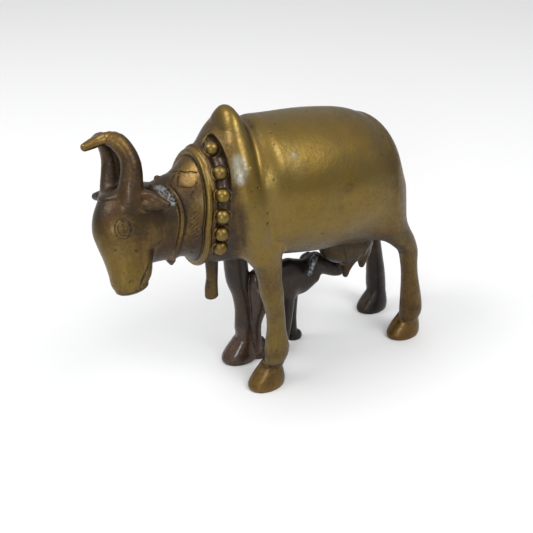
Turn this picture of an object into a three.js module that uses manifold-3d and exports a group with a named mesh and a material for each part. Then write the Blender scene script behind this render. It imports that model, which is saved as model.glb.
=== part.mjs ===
import * as THREE from "three";
import { triTable } from "three/addons/objects/MarchingCubes.js";
import { SimplifyModifier } from "three/addons/modifiers/SimplifyModifier.js";
import { mergeVertices } from "three/addons/utils/BufferGeometryUtils.js";
import Module from "manifold-3d";

// A cow with its calf at the udder, cast in one piece. Millimetres, +Z up. The cow looks along -X
// and its left side, the near side of the photograph, is -Y.
// While it is shaped, x = 0 is midway between the front hooves and z = 0 is the ground. Its origin is
// moved to the bottom centre of its bounding box at the end.

// The sizes of the cow.
const HOOF_SPACING = 98;
const HOOF_HALF_SPREAD = 16;
const BODY_MIDDLE_HEIGHT = 112;
const BODY_HALF_WIDTH = 34;
const BODY_HALF_HEIGHT = 38;
const HUMP_HEIGHT = 163;
const HEAD_ORIGIN = [-66, 0, 131];
const HEAD_TURN = 10;
const HEAD_ROLL = 18;
const HORN_RADIUS = 5.6;
const TAIL_DEPTH = 1.5;

// The strap behind the head, the collar and its beads, at places along the neck. The strap bows to
// the rear on both sides, and the collar and the beads lean to the rear at the top.
const STRAP_PLACE = -51.4;
const STRAP_BOW = 3.2;
const STRAP_RADIUS = 1.3;
const STRAP_OPEN = 44;
const COLLAR_PLACE = -38;
const COLLAR_LEAN = 4.8;
const COLLAR_RADIUS = 1.8;
const BEAD_PLACE = -31.7;
const BEAD_RADIUS = 3.7;
const BEAD_ANGLES = [16, 44, 64, 82, 99, 116, -116, -99, -82, -64];
const HOOP_STEPS = 30;

// The sizes of the mesh: the cell it is first made on, how far past a form it still counts, and the
// number of triangles that are kept.
const CELL = 1.25;
const MARGIN = 4;
const FAR = 60;
const TRIANGLES_KEPT = 9400;
const TABLE_STEP = 1;
const NEAREST_STEPS = 3;
const SLOPE_STEP = 0.02;
const SEARCH_STEP = 0.1;
const BELOW_GROUND = 3;
const GROUND_BLOCK = [400, 200, 40];

// How square the rounded ends are: 2 is an ellipse, and more is fuller.
const FULL_END = 2.5;
const BARREL_END = 1.8;
const ELLIPSE_END = 2;

// A row of numbers at place t, on a smooth curve through rows that start with their own places.
function smoothRow(rows, t) {
  const last = rows.length - 1;
  let i = 0;
  while (i < last - 1 && rows[i + 1][0] < t) i += 1;
  const before = rows[Math.max(i - 1, 0)];
  const start = rows[i];
  const end = rows[i + 1];
  const after = rows[Math.min(i + 2, last)];
  const span = end[0] - start[0];
  const s = THREE.MathUtils.clamp((t - start[0]) / span, 0, 1);
  return start.map((value, n) => {
    const slopeIn = (end[n] - before[n]) / (end[0] - before[0]) * span;
    const slopeOut = (after[n] - start[n]) / (after[0] - start[0]) * span;
    const rise = end[n] - value;
    const bend = s * s * (3 - 2 * s);
    return value + bend * rise + s * (s - 1) * ((s - 1) * slopeIn + s * slopeOut);
  });
}

// A form has a box that holds it and its signed distance at a point, negative inside.
function form(box, distance) {
  return { box, distance };
}

// The length of a step in three directions.
const length3 = (a, b, c) => Math.sqrt(a * a + b * b + c * c);

// A body with elliptical sections across the third axis of its frame. Each row is the place on that
// axis, the centre of the section, and its two half sizes. Its ends are rounded by the two caps.
function loft(frame, rows, startCap, endCap, fullness = FULL_END) {
  const first = rows[0][0];
  const last = rows[rows.length - 1][0];
  const count = Math.ceil((last - first) / TABLE_STEP);
  const table = [];
  for (let i = 0; i <= count; i += 1) table.push(smoothRow(rows, first + (last - first) * i / count));
  table.push(table[count]);
  const m = frame.clone().invert().elements;
  const box = new THREE.Box3();
  for (const [t, u, v, sizeU, sizeV] of [
    [first - startCap, ...table[0].slice(1)],
    ...table,
    [last + endCap, ...table[count].slice(1)],
  ]) {
    for (const a of [-1, 1]) {
      for (const b of [-1, 1]) {
        box.expandByPoint(new THREE.Vector3(u + a * sizeU, v + b * sizeV, t).applyMatrix4(frame));
      }
    }
  }
  return form(box, (x, y, z) => {
    const t = m[2] * x + m[6] * y + m[10] * z + m[14];
    const inside = Math.min(Math.max(t, first), last);
    const place = (inside - first) / (last - first) * count;
    const i = Math.floor(place);
    const s = place - i;
    const a = table[i];
    const b = table[i + 1];
    const du = m[0] * x + m[4] * y + m[8] * z + m[12] - a[1] - (b[1] - a[1]) * s;
    const dv = m[1] * x + m[5] * y + m[9] * z + m[13] - a[2] - (b[2] - a[2]) * s;
    const sizeU = a[3] + (b[3] - a[3]) * s;
    const sizeV = a[4] + (b[4] - a[4]) * s;
    const cap = t < first ? startCap : endCap;
    const beyond = Math.abs(t - inside) / cap;
    const share = length3(du / sizeU, dv / sizeV, beyond ** (fullness / 2));
    if (share < 1e-6) return -Math.min(sizeU, sizeV);
    const steep = fullness / 2 * beyond ** (fullness - 1) / cap;
    return share * (share - 1) / length3(du / sizeU ** 2, dv / sizeV ** 2, steep);
  });
}

// An ellipsoid on the axes of a frame.
function ball(frame, centre, sizes) {
  const row = [centre[2], centre[0], centre[1], sizes[0], sizes[1]];
  const next = [row[0] + SLOPE_STEP, ...row.slice(1)];
  return loft(frame, [row, next], sizes[2], sizes[2], ELLIPSE_END);
}

// A round limb along a smooth curve. Each point is x, y, z and the radius there.
function limb(frame, points) {
  const rows = [];
  let way = 0;
  points.forEach((point, i) => {
    if (i) way += Math.hypot(...[0, 1, 2].map((n) => point[n] - points[i - 1][n]));
    rows.push([way, ...point]);
  });
  const count = Math.ceil(way / (2 * TABLE_STEP));
  const chain = [];
  const box = new THREE.Box3();
  for (let i = 0; i <= count; i += 1) {
    const [, x, y, z, radius] = smoothRow(rows, way * i / count);
    const centre = new THREE.Vector3(x, y, z).applyMatrix4(frame);
    chain.push([centre.x, centre.y, centre.z, radius]);
    box.expandByPoint(centre.clone().addScalar(radius));
    box.expandByPoint(centre.clone().addScalar(-radius));
  }
  return form(box, (x, y, z) => {
    let nearest = Infinity;
    for (let i = 0; i < count; i += 1) {
      const a = chain[i];
      const b = chain[i + 1];
      const ax = b[0] - a[0];
      const ay = b[1] - a[1];
      const az = b[2] - a[2];
      const px = x - a[0];
      const py = y - a[1];
      const pz = z - a[2];
      const along = (px * ax + py * ay + pz * az) / (ax * ax + ay * ay + az * az);
      const s = Math.min(Math.max(along, 0), 1);
      const radius = a[3] + (b[3] - a[3]) * s;
      nearest = Math.min(nearest, length3(px - ax * s, py - ay * s, pz - az * s) - radius);
    }
    return nearest;
  });
}

// Forms joined one after the other, each with a fillet of about its own softness.
function joined(...pairs) {
  const box = new THREE.Box3();
  const reach = pairs.map(([part, softness]) => {
    box.union(part.box);
    const b = part.box.clone().expandByScalar(softness + MARGIN);
    return [b.min.x, b.max.x, b.min.y, b.max.y, b.min.z, b.max.z];
  });
  return form(box, (x, y, z) => {
    let sum = FAR;
    for (let i = 0; i < pairs.length; i += 1) {
      const r = reach[i];
      if (x < r[0] || x > r[1] || y < r[2] || y > r[3] || z < r[4] || z > r[5]) continue;
      const [part, softness] = pairs[i];
      const next = part.distance(x, y, z);
      const gap = Math.max(softness - Math.abs(sum - next), 0);
      sum = Math.min(sum, next) - gap * gap / (4 * softness);
    }
    return sum;
  });
}

// The frame whose three axes point along the given directions.
function axes(u, v, t, origin = [0, 0, 0]) {
  const vectors = [u, v, t].map((direction) => new THREE.Vector3(...direction));
  return new THREE.Matrix4().makeBasis(...vectors).setPosition(...origin);
}

const WORLD = axes([1, 0, 0], [0, 1, 0], [0, 0, 1]);
const LENGTHWISE = axes([0, 1, 0], [0, 0, 1], [1, 0, 0]);

// The frame of the head: forward, towards the near side, and down along the face.
const HEAD = new THREE.Matrix4()
  .makeRotationZ(THREE.MathUtils.degToRad(HEAD_TURN))
  .multiply(new THREE.Matrix4().makeRotationX(-THREE.MathUtils.degToRad(HEAD_ROLL)))
  .multiply(axes([-1, 0, 0], [0, -1, 0], [0, 0, -1]))
  .setPosition(...HEAD_ORIGIN);

// The neck from the head to the shoulders, a row for each place along the cow.
const NECK = [
  [-60, 0, 112, 13.5, 19.5],
  [-52, 0, 112.7, 15.5, 20.3],
  [-48, 0, 113.3, 16.5, 20.8],
  [-44, 0, 113.2, 18, 21.6],
  [-40, 0, 112.8, 19.5, 24.6],
  [-36, 0, 113.3, 21.3, 27.6],
  [-32, 0, 114.2, 22.5, 29.4],
  [-28, 0, 115.2, 23, 31.2],
  [-24, 0, 116.4, 23.2, 33],
  [-18, 0, 118, 23.5, 35],
];

// A point on the skin of the neck, from the top (0) by the near side (90) to the bottom (180).
function neckPoint(x, degrees) {
  const angle = THREE.MathUtils.degToRad(degrees);
  const [, , z, halfWidth, halfHeight] = smoothRow(NECK, x);
  return [x, -halfWidth * Math.sin(angle), z + halfHeight * Math.cos(angle)];
}

// The place along the neck of the collar, or of the beads behind it, at an angle round the neck.
function leaning(place, degrees) {
  return place + COLLAR_LEAN * Math.max(Math.cos(THREE.MathUtils.degToRad(degrees)), 0);
}

// The place along the neck of the strap, at an angle round the neck.
function bowed(degrees) {
  const fromTop = Math.min(degrees, 360 - degrees, 120);
  return STRAP_PLACE + STRAP_BOW * Math.sin(THREE.MathUtils.degToRad(1.5 * fromTop)) ** 2;
}

// A round band on the skin of the neck, open over the given angle at the top. Its place along the
// neck is a function of the angle.
function hoop(place, radius, open) {
  const points = [];
  for (let i = 0; i <= HOOP_STEPS; i += 1) {
    const angle = open / 2 + (360 - open) * i / HOOP_STEPS;
    points.push([...neckPoint(place(angle), angle), radius]);
  }
  return limb(WORLD, points);
}

// The fold of each shoulder, from the hump down to the foreleg.
const shoulders = [-1, 1].map((side) => limb(WORLD, [
  [-15, side * 5, 153.5, 5],
  [-16.2, side * 11, 146.7, 5.6],
  [-17.2, side * 18, 135, 6],
  [-16.3, side * 21.8, 122, 6.4],
  [-14.2, side * 23.2, 105, 6.8],
  [-9.6, side * 21.2, 91, 6],
]));

const trunk = joined(
  [loft(LENGTHWISE, [
    [1, 0, BODY_MIDDLE_HEIGHT + 6, BODY_HALF_WIDTH - 2, BODY_HALF_HEIGHT - 1.2],
    [10, 0, BODY_MIDDLE_HEIGHT + 4.5, BODY_HALF_WIDTH - 0.6, BODY_HALF_HEIGHT - 0.5],
    [30, 0, BODY_MIDDLE_HEIGHT + 2, BODY_HALF_WIDTH + 0.5, BODY_HALF_HEIGHT + 0.7],
    [48, 0, BODY_MIDDLE_HEIGHT + 0.3, BODY_HALF_WIDTH - 0.2, BODY_HALF_HEIGHT - 0.1],
    [58, 0, BODY_MIDDLE_HEIGHT - 0.5, BODY_HALF_WIDTH - 1, BODY_HALF_HEIGHT - 1.7],
    [66, 0, BODY_MIDDLE_HEIGHT - 1.3, BODY_HALF_WIDTH - 2.2, BODY_HALF_HEIGHT - 4.3],
  ], 21.5, 17.4, BARREL_END), 1],
  [loft(LENGTHWISE, NECK, 4, 12), 6],
  [loft(WORLD, [
    [97, -12.5, 0, 10.5, 25.5],
    [108, -15, 0, 9, 27.3],
    [121, -16.5, 0, 8, 25.5],
    [136, -17.3, 0, 8, 22],
    [148, -16.6, 0, 6.8, 14.5],
    [HUMP_HEIGHT - 9, -15.4, 0, 5.4, 9.5],
  ], 10, 9, ELLIPSE_END), 8],
  [shoulders[0], 3],
  [shoulders[1], 3],
  [ball(WORLD, [69, -13, 96], [13.4, 14, 20]), 12],
  [ball(WORLD, [70, 13, 96], [13.4, 14, 20]), 12],
);

// A leg from its top to the ground. Each row is the height, the centre, and the two half sizes.
function leg(rows) {
  return loft(WORLD, [...rows].reverse(), 1, 6);
}

// A hoof under a leg that comes down at x, y.
function hoof(x, y, scale) {
  const rows = [
    [-1, -3.2, 0, 11.4, 8],
    [2.5, -3.4, 0, 12.2, 8.6],
    [7, -2.4, 0, 10.6, 8],
    [12, -1, 0, 7.8, 6.6],
    [16, 0, 0, 5.6, 5.4],
  ];
  return loft(WORLD, rows.map(([z, dx, dy, long, wide]) => (
    [z, x + dx, y + dy, long * scale, wide * scale]
  )), 2, 2);
}

const nearFront = joined(
  [leg([
    [92, -7, -19, 10, 8],
    [82, -4.5, -19.5, 7.6, 7],
    [73, -3, -19.2, 6.3, 6.3],
    [65, -1.7, -18.8, 6.3, 6.3],
    [57, 0, -18.3, 5.6, 5.6],
    [49, 1.5, -17.9, 5.2, 5.2],
    [39, 2.5, -17.3, 5.3, 5.3],
    [29, 3, -17, 6.7, 6.5],
    [23, 3, -16.6, 6.9, 6.5],
    [16, 2.2, -16.2, 5.2, 5.2],
  ]), 3],
  [hoof(1.8, -HOOF_HALF_SPREAD + 2.4, 0.93), 1.5],
);
const farFront = joined(
  [leg([
    [92, -6, 18, 10, 8],
    [76, -3, 18.5, 7.2, 7],
    [54, -1.6, 17.6, 6.8, 6.6],
    [43, 1, 17.2, 6, 6],
    [33, 2.3, 16.9, 5.9, 5.9],
    [26, 2.6, 16.5, 6.5, 6.5],
    [20, 2.6, 16.1, 6.9, 6.6],
    [14, 2.6, 15.8, 5.8, 5.6],
  ]), 3],
  [hoof(1.8, HOOF_HALF_SPREAD, 1), 1.5],
);
const nearHind = joined(
  [leg([
    [104, 70, -17, 9, 8],
    [92, 72.6, -19.5, 9.2, 8.5],
    [82, 77, -21, 9.4, 8],
    [74, 82.5, -21.4, 8.6, 7],
    [65, 89, -20.9, 5.9, 6],
    [55, 91.8, -20.3, 4.9, 5.2],
    [45, 94.1, -19.8, 5, 5.2],
    [30, 97.3, -19.2, 6.5, 6],
    [19, 98.9, -18.7, 7, 6.4],
    [13, 98.7, -18.1, 5.8, 5.6],
  ]), 3],
  [hoof(HOOF_SPACING + 2.6, -HOOF_HALF_SPREAD, 0.92), 1.5],
);
const farHind = joined(
  [leg([
    [104, 73, 17, 9, 8],
    [92, 76.5, 19.5, 9.5, 8.5],
    [82, 80.5, 21, 9.4, 8],
    [72, 88, 21, 7.8, 7],
    [60, 95, 20.6, 5.8, 6],
    [49, 97.5, 20, 5.2, 5.4],
    [37, 99.5, 19.1, 5.4, 5.4],
    [27, 100.8, 18.7, 6.1, 6],
    [17, 101.6, 18.3, 6.4, 6.2],
    [11, 101.8, 17.9, 5.2, 5.2],
  ]), 3],
  [hoof(HOOF_SPACING + 4, HOOF_HALF_SPREAD + 1, 0.9), 1.5],
);

const horns = [-1, 1].map((side) => limb(HEAD, [
  [5.6, side * 8, 2, HORN_RADIUS + 0.4],
  [4.6, side * 8.8, -3, HORN_RADIUS],
  [3, side * 9.3, -8, 5.1],
  [2.2, side * 9.4, -11, 4.8],
  [1.6, side * 9.2, -14, 4.5],
  [1.8, side * 8, -18.8, 4.2],
  [3.6, side * 5.8, -24, 4],
  [7, side * 3.4, -26.3, 3],
  [11.6, side * 1.4, -25.7, 2.1],
  [16.6, side * 0.4, -24.9, 1.2],
]));

// The near ear is a leaf laid back against the neck. Its frame runs across, through and along it.
const EAR_AXES = axes([0.5, -0.05, 0.87], [0.55, 0.79, -0.27], [-0.67, 0.61, 0.42], [3, 11, 1]);
const EAR = HEAD.clone().multiply(EAR_AXES);
const nearEar = loft(EAR, [
  [0, 1, 0, 4, 3.2],
  [5, 1.1, 0, 4.5, 2.6],
  [10, 1, 0, 3, 2],
  [13, 0.8, 0, 1.7, 1.4],
], 3, 1.8);
const farEar = limb(HEAD, [
  [4, -8, 1, 4],
  [6, -13, 0.5, 3.2],
  [7.4, -16.5, 0.4, 2.7],
  [8.4, -20, 0.4, 1.9],
]);

const head = joined(
  [loft(HEAD, [
    [0, 4, 0, 12.8, 10.5],
    [6, 5.8, 0, 15.2, 12],
    [13, 7.8, 0, 15.5, 12.5],
    [20, 9.2, 0, 13.7, 11.5],
    [27, 10, 0, 11.9, 10],
    [34, 10.7, 0, 10.8, 9.2],
    [39, 11.7, 0, 10, 8.4],
    [42, 12.5, 0, 8.2, 7.2],
  ], 4, 3.5), 1],
  [ball(HEAD, [-0.5, -6.5, 13], [8.5, 6, 12.5]), 3],
  [ball(HEAD, [-0.5, 6.5, 13], [8.5, 6, 12.5]), 3],
  [horns[0], 3],
  [horns[1], 3],
  [nearEar, 2],
  [farEar, 3],
);

const beads = BEAD_ANGLES.map((angle) => (
  [ball(WORLD, neckPoint(leaning(BEAD_PLACE, angle), angle), Array(3).fill(BEAD_RADIUS)), 0.8]
));

const dress = joined(
  [hoop(bowed, STRAP_RADIUS, STRAP_OPEN), 1],
  [limb(WORLD, [[-51, -5, 94.4, 3], [-51.3, -5.8, 92.6, 1.8], [-51.4, -6, 91.6, 1.2]]), 2],
  [hoop((angle) => leaning(COLLAR_PLACE, angle), COLLAR_RADIUS, 0), 1],
  ...beads,
  [loft(WORLD, [
    [61.5, -27.3, 0, 3.7, 3],
    [66, -27.3, 0, 3.6, 3],
    [73, -26.6, 0, 3.1, 3],
    [86, -26.5, 0, 3.8, 3.5],
  ], 2, 2), 1.5],
);

const rump = joined([trunk, 1], [nearHind, 8], [farHind, 8]);

const udder = joined(
  [ball(WORLD, [60, -1, 70], [18, 12, 13]), 5],
  [limb(WORLD, [[60, -4.5, 60, 4.5], [58, -4.8, 54, 2.8], [57.6, -5, 50, 1.8]]), 3],
  [limb(WORLD, [[70, -4.5, 62, 4.5], [69.4, -4.8, 56, 2.8], [69.2, -5, 53, 1.8]]), 3],
  [limb(WORLD, [[60, 4.5, 60, 4.5], [61, 5.2, 54, 2.8], [61.6, 5.6, 49, 1.8]]), 3],
  [limb(WORLD, [[71, 5, 62, 4.5], [71, 5.5, 56, 2.8], [71, 6, 53, 1.8]]), 3],
);

// Where a line from behind, at the given y and z, meets the skin of the rump.
function rumpPlace(y, z) {
  let x = HOOF_SPACING;
  while (rump.distance(x, y, z) > 0) x -= SEARCH_STEP;
  return x;
}

const tail = limb(WORLD, [
  [126, -2.5, 0.8],
  [116, -5, 2.1],
  [103, -8, 2.4],
  [90, -10.5, 2.4],
  [80, -13.5, 2.6],
  [71, -16.5, 2.8],
].map(([z, y, radius]) => [rumpPlace(y, z) - TAIL_DEPTH, y, z, radius]));

const calf = joined(
  [loft(LENGTHWISE, [
    [8, 12.8, 48.2, 6.2, 11.6],
    [18, 12.2, 48, 6.8, 11.2],
    [28, 11.6, 48.8, 6.8, 12.4],
    [34, 11.3, 47.3, 6.4, 12],
    [40, 10.8, 46.8, 5.6, 11],
    [46, 10, 50, 5, 10],
  ], 6, 3), 1],
  [limb(WORLD, [[46, 9.5, 54.5, 6.2], [52, 8.5, 51, 5.2], [58, 7, 47, 3.9], [61, 6.2, 45.4, 2.8]]), 2],
  [limb(WORLD, [[43.5, 5.5, 61, 1.8], [40, 3.2, 60, 2], [37.5, 2.8, 53, 1.6]]), 1],
  [limb(WORLD, [[44, 14, 58, 1.8], [42.6, 17, 54.5, 2], [41.5, 17.6, 49, 1.5]]), 1],
  [limb(WORLD, [[28, 9, 44, 4.6], [27.4, 9.6, 32, 3.9], [27, 10.4, 18, 3.4], [25.8, 10.8, 7, 3.2]]), 3],
  [limb(WORLD, [[34, 14.5, 44, 4.4], [33.8, 14.8, 32, 3.6], [34, 15.4, 18, 3.2], [34.8, 15.8, 7, 3.2]]), 3],
  [limb(WORLD, [[10, 10, 45, 7], [7.4, 10, 34, 4.6], [6, 10.4, 24, 3.2], [7, 10.8, 6, 3]]), 3],
  [limb(WORLD, [[10, 16, 45, 6.5], [8.4, 16, 34, 4.2], [8.6, 16.4, 24, 3.2], [9.6, 16.6, 6, 3]]), 3],
  [ball(WORLD, [25, 10.9, 1], [4.4, 3.6, 5]), 1],
  [ball(WORLD, [37, 16, 1], [5, 3.8, 5]), 1],
  [ball(WORLD, [8.6, 10.9, 1], [4.6, 3.6, 5]), 1],
  [ball(WORLD, [11.6, 16.4, 2], [5, 4, 8]), 1],
);

const figure = joined(
  [rump, 1],
  [nearFront, 4.5],
  [farFront, 4.5],
  [head, 4],
  [dress, 1],
  [udder, 3],
  [tail, 1.5],
  [calf, 1],
);

// The surface of a form: marching cubes on its distance, each vertex then moved on to the surface.
function surfaceOf({ box, distance }) {
  const low = box.min.clone().addScalar(-2 * CELL);
  low.z = -BELOW_GROUND;
  const size = box.max.clone().addScalar(2 * CELL).sub(low).divideScalar(CELL).ceil();
  const [nx, ny, nz] = [size.x + 1, size.y + 1, size.z + 1];
  const field = new Float64Array(nx * ny * nz);
  for (let n = 0; n < field.length; n += 1) {
    const x = low.x + (n % nx) * CELL;
    const y = low.y + (Math.floor(n / nx) % ny) * CELL;
    const k = Math.floor(n / (nx * ny));
    field[n] = k === 0 ? CELL : distance(x, y, low.z + k * CELL);
  }
  const steps = [1, nx, nx * ny];
  // The node at the start of each of the twelve edges of a cell, and the direction of the edge.
  const edges = [
    [0, 0], [1, 1], [nx, 0], [0, 1],
    [nx * ny, 0], [nx * ny + 1, 1], [nx * ny + nx, 0], [nx * ny, 1],
    [0, 2], [1, 2], [nx + 1, 2], [nx, 2],
  ];
  const corners = [0, 1, nx + 1, nx, nx * ny, nx * ny + 1, nx * ny + nx + 1, nx * ny + nx];
  const numbers = new Map();
  const positions = [];
  const index = [];
  const vertexOn = (node, direction) => {
    const key = node * 3 + direction;
    if (!numbers.has(key)) {
      const share = field[node] / (field[node] - field[node + steps[direction]]);
      const place = [node % nx, Math.floor(node / nx) % ny, Math.floor(node / (nx * ny))];
      place[direction] += THREE.MathUtils.clamp(share, 0.02, 0.98);
      numbers.set(key, positions.length / 3);
      positions.push(...place.map((value, n) => low.getComponent(n) + value * CELL));
    }
    return numbers.get(key);
  };
  for (let k = 0; k < nz - 1; k += 1) {
    for (let j = 0; j < ny - 1; j += 1) {
      for (let i = 0; i < nx - 1; i += 1) {
        const node = i + nx * (j + ny * k);
        let kind = 0;
        corners.forEach((corner, bit) => {
          if (field[node + corner] > 0) kind |= 1 << bit;
        });
        for (let n = kind * 16; triTable[n] !== -1; n += 1) {
          const [start, direction] = edges[triTable[n]];
          index.push(vertexOn(node + start, direction));
        }
      }
    }
  }
  for (let n = 0; n < positions.length; n += 3) {
    for (let pass = 0; pass < NEAREST_STEPS; pass += 1) {
      const [x, y, z] = positions.slice(n, n + 3);
      const here = distance(x, y, z);
      const slope = [
        (distance(x + SLOPE_STEP, y, z) - here) / SLOPE_STEP,
        (distance(x, y + SLOPE_STEP, z) - here) / SLOPE_STEP,
        (distance(x, y, z + SLOPE_STEP) - here) / SLOPE_STEP,
      ];
      const steepness = Math.max(length3(...slope) ** 2, 0.25);
      const move = THREE.MathUtils.clamp(here / steepness, -CELL / 3, CELL / 3);
      if (z > -BELOW_GROUND + CELL) slope.forEach((value, m) => { positions[n + m] -= value * move; });
    }
  }
  const geometry = new THREE.BufferGeometry();
  geometry.setAttribute("position", new THREE.Float32BufferAttribute(positions, 3));
  geometry.setIndex(index);
  return geometry;
}

const wasm = await Module();
wasm.setup();

// A closed three.js geometry as a solid, and a solid as a geometry.
function solidOf(geometry) {
  return new wasm.Manifold(new wasm.Mesh({
    numProp: 3,
    vertProperties: geometry.getAttribute("position").array,
    triVerts: new Uint32Array(geometry.index.array),
  }));
}

function geometryOf(solid) {
  const mesh = solid.getMesh();
  const geometry = new THREE.BufferGeometry();
  geometry.setAttribute("position", new THREE.BufferAttribute(mesh.vertProperties, 3));
  geometry.setIndex(new THREE.BufferAttribute(mesh.triVerts, 1));
  return geometry;
}

const surface = surfaceOf(figure);
const surplus = surface.getAttribute("position").count - TRIANGLES_KEPT / 2;
const lighter = await new SimplifyModifier().modify(surface, surplus);

// Everything under the ground is cut off, so the soles are flat.
const ground = new THREE.BoxGeometry(...GROUND_BLOCK).translate(0, 0, -GROUND_BLOCK[2] / 2);
ground.deleteAttribute("normal");
ground.deleteAttribute("uv");
const casting = geometryOf(solidOf(lighter).subtract(solidOf(mergeVertices(ground))));
casting.computeBoundingBox();
const middle = casting.boundingBox.getCenter(new THREE.Vector3());
casting.translate(-middle.x, -middle.y, 0);

const whole = new THREE.Mesh(casting, new THREE.MeshStandardMaterial({ color: 0x8a7136, metalness: 1 }));
whole.name = "cow_and_calf";
const result = new THREE.Group();
result.add(whole);

export default result;
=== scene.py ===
import math

import bpy
import numpy as np
from mathutils import Matrix, Vector


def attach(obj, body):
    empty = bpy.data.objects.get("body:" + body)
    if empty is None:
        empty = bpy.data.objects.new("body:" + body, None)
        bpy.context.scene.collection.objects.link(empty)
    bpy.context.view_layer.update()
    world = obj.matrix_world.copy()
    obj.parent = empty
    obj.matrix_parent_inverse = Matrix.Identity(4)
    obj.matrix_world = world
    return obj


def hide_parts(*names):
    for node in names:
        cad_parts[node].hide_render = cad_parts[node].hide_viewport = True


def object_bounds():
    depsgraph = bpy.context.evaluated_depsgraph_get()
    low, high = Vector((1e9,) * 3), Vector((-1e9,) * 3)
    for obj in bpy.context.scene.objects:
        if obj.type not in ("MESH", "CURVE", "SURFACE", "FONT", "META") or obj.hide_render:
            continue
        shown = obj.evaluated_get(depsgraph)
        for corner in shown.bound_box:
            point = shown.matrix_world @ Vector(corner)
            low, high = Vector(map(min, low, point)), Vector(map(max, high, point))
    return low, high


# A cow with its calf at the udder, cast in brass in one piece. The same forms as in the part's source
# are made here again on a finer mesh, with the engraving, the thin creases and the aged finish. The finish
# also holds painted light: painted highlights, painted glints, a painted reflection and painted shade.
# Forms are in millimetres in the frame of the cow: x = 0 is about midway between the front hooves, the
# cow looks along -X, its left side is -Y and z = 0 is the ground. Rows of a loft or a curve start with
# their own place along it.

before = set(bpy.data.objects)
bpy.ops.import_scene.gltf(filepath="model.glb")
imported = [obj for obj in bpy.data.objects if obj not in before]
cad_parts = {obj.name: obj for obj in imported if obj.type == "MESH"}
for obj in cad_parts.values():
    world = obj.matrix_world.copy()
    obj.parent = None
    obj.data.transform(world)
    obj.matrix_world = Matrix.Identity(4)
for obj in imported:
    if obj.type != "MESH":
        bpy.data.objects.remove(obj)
cad_low, cad_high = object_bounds()

# Where the origin of the part lies in the frame of the cow.
ORIGIN = np.array([10.59, 0.02, 0.0])

# The sizes of the cow.
HOOF_SPACING = 98
HOOF_HALF_SPREAD = 16
BODY_MIDDLE_HEIGHT = 112
BODY_HALF_WIDTH = 34
BODY_HALF_HEIGHT = 38
HUMP_HEIGHT = 163
HEAD_ORIGIN = (-66, 0, 131)
HEAD_TURN = 10
HEAD_ROLL = 18
HORN_RADIUS = 5.6
TAIL_DEPTH = 1.5

# The strap behind the head, the collar and its beads, at places along the neck.
STRAP_PLACE = -51.4
STRAP_BOW = 3.2
STRAP_RADIUS = 1.3
STRAP_OPEN = 44
COLLAR_PLACE = -38
COLLAR_LEAN = 4.8
COLLAR_RADIUS = 1.8
BEAD_PLACE = -31.7
BEAD_RADIUS = 3.7
BEAD_ANGLES = (16, 44, 64, 82, 99, 116, -116, -99, -82, -64)

# The channels that the beads lie in: the angles along them, how far out of the neck they are centred,
# the radius on the near and the far side, and the length of a link.
NEAR_CHANNEL = range(5, 128, 6)
FAR_CHANNEL = range(-127, -52, 6)
CHANNEL_OUT = 1.7
NEAR_CHANNEL_RADIUS = 3.7
FAR_CHANNEL_RADIUS = 3.4
CHANNEL_LINK = 1.5

# How the forms are measured: how far past its softness a form is looked at, a distance that stands for
# far away, the steps of a table and of a slope, and how full the ends of a loft, the barrel and a ball are.
MARGIN = 4
FAR = 60
TABLE_STEP = 1
SLOPE_STEP = 0.05
FULL_END = 2.5
BARREL_END = 1.8
ELLIPSE_END = 2

# The mesh: how many points are measured at a time, how near the ground a sole is, and the most triangles.
BATCH = 400000
SOLE_DEPTH = 0.12
TRIANGLES = 190000

# The floor's half size in metres and its shade, and the room's light at the horizon and overhead.
FLOOR_REACH = 3
FLOOR_SHADE = 0.72
HORIZON_LIGHT = 0.42
ZENITH_LIGHT = 1.0

# How far the lamps stand from a point in the middle of the figure, in metres.
LAMP_DISTANCE = 1.3
FIGURE_MIDDLE = (0, 0, 0.09)

# The camera of the photo: its place in the frame of the cow, its axes, its focal length and the width of
# the photo in pixels, and the width of the sensor in millimetres.
CAMERA_PLACE = np.array([-179.8, -303.3, 279.0])
CAMERA_RIGHT = np.array([0.8517, -0.524, 0.0])
CAMERA_UP = np.array([0.2667, 0.4336, 0.8607])
CAMERA_LOOK = np.array([0.451, 0.7331, -0.509])
FOCAL_PIXELS = 760
PHOTO_PIXELS = 533
SENSOR_WIDTH = 36


def smooth_row(rows, t):
    """A row of numbers at place t, on a smooth curve through rows that start with their own places."""
    last = len(rows) - 1
    i = 0
    while i < last - 1 and rows[i + 1][0] < t:
        i += 1
    before, start, end, after = (
        np.array(rows[j], float) for j in (max(i - 1, 0), i, i + 1, min(i + 2, last))
    )
    span = end[0] - start[0]
    s = min(max((t - start[0]) / span, 0), 1)
    slope_in = (end - before) / (end[0] - before[0]) * span
    slope_out = (after - start) / (after[0] - start[0]) * span
    bend = s * s * (3 - 2 * s)
    return start + bend * (end - start) + s * (s - 1) * ((s - 1) * slope_in + s * slope_out)


class Form:
    """A shape with a box that holds it and its signed distance at points, negative inside."""

    def __init__(self, low, high, distance):
        self.low = np.array(low, float)
        self.high = np.array(high, float)
        self.distance = distance

    def near(self, points, reach):
        """The numbers of the points that lie within reach of the box."""
        low, high = self.low - reach, self.high + reach
        return np.flatnonzero(((points > low) & (points < high)).all(axis=1))


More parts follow.
